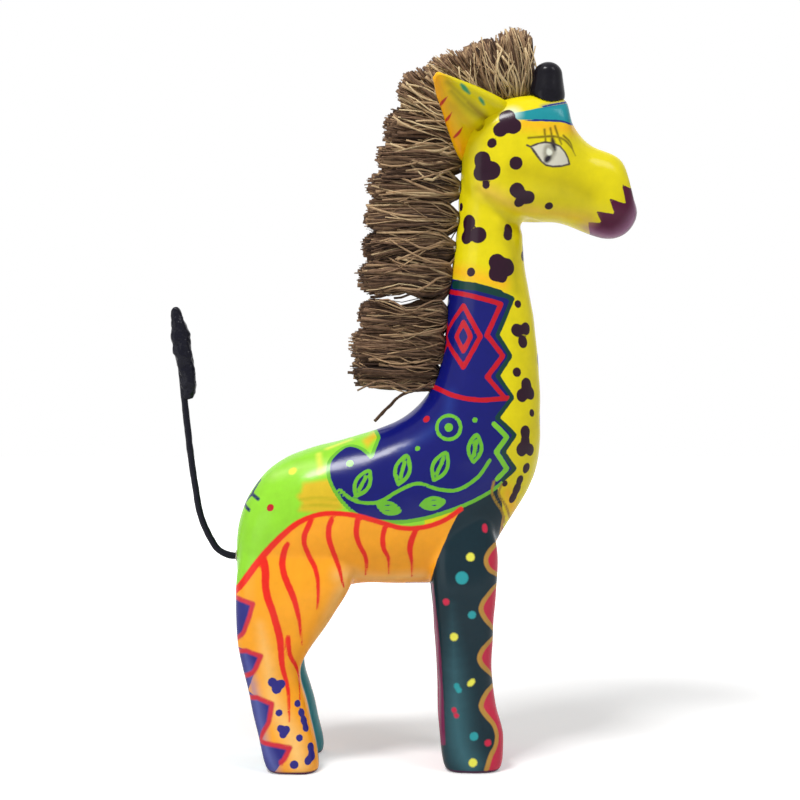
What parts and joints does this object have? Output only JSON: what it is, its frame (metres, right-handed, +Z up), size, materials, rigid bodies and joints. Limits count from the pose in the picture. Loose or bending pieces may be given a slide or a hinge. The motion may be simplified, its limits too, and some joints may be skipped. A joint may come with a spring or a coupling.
{
  "type": "carved giraffe figure",
  "caption": "Standing giraffe carved from light wood and painted, with pegged ears and horns, a mane of cut plant fibre tufts and a bent wire tail with a tassel.",
  "frame": {"origin": "on the ground, under the middle of the whole figure", "axes": "+X towards the nose, +Y to the figure's left, +Z up"},
  "size_m": [0.1868, 0.0654, 0.2922],
  "materials": {
    "painted_wood": "gloss",
    "black_wood": "gloss",
    "plant_fibre": "matt",
    "clear_glue": "gloss",
    "black_wire": "satin",
    "black_resin": "gloss"
  },
  "bodies": {
    "root": {"carved_body": "painted_wood", "horn_right": "black_wood", "horn_left": "black_wood", "ear_right": "painted_wood", "ear_left": "painted_wood", "mane_tuft_01": "plant_fibre", "mane_tuft_02": "plant_fibre", "mane_tuft_03": "plant_fibre", "mane_tuft_04": "plant_fibre", "mane_tuft_05": "plant_fibre", "mane_tuft_06": "plant_fibre", "mane_tuft_07": "plant_fibre", "mane_tuft_08": "plant_fibre", "mane_tuft_09": "plant_fibre", "mane_tuft_10": "plant_fibre", "mane_tuft_11": "plant_fibre", "mane_tuft_12": "plant_fibre", "mane_tuft_13": "plant_fibre", "mane_glue": "clear_glue", "loose_stalk": "plant_fibre", "tail_wire": "black_wire", "tail_glue": "clear_glue", "tail_tassel": "black_resin"}
  },
  "joints": []
}
